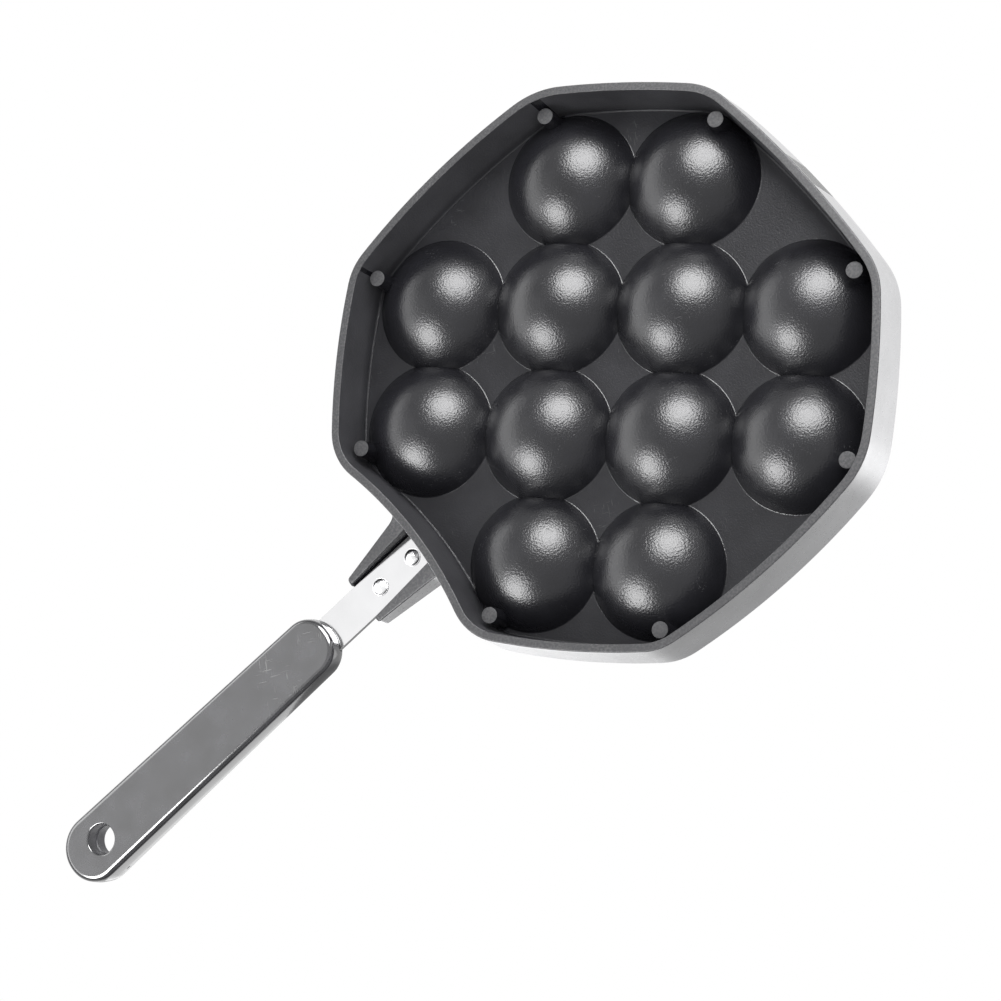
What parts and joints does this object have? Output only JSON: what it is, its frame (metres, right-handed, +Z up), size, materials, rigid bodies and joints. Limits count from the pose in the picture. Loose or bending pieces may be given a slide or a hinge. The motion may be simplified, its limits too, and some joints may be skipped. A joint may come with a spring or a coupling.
{
  "type": "takoyaki_pan",
  "caption": "Cast aluminium takoyaki pan with round cups in a diagonal grid, a tapering skirt, a riveted flat strap and a black grip with a hanging hole",
  "frame": {"origin": "middle of the whole length, between the pan's two halves, on the level that the rim stands on", "axes": "+X from the pan along the handle, +Y across the pan, +Z up with the cups open to the top"},
  "size_m": [0.3718, 0.1958, 0.0227],
  "materials": {
    "coated_aluminium": "black non-stick coating on both faces, bare cast aluminium on the outer wall",
    "strap_steel": "bright flat bar, smooth",
    "rivet_aluminium": "bright domed head",
    "phenolic": "glossy moulded phenolic"
  },
  "bodies": {
    "root": {"pan_body": "coated_aluminium", "handle_strap": "strap_steel", "rivet_at_wall": "rivet_aluminium", "rivet_at_tip": "rivet_aluminium", "grip": "phenolic"}
  },
  "joints": []
}
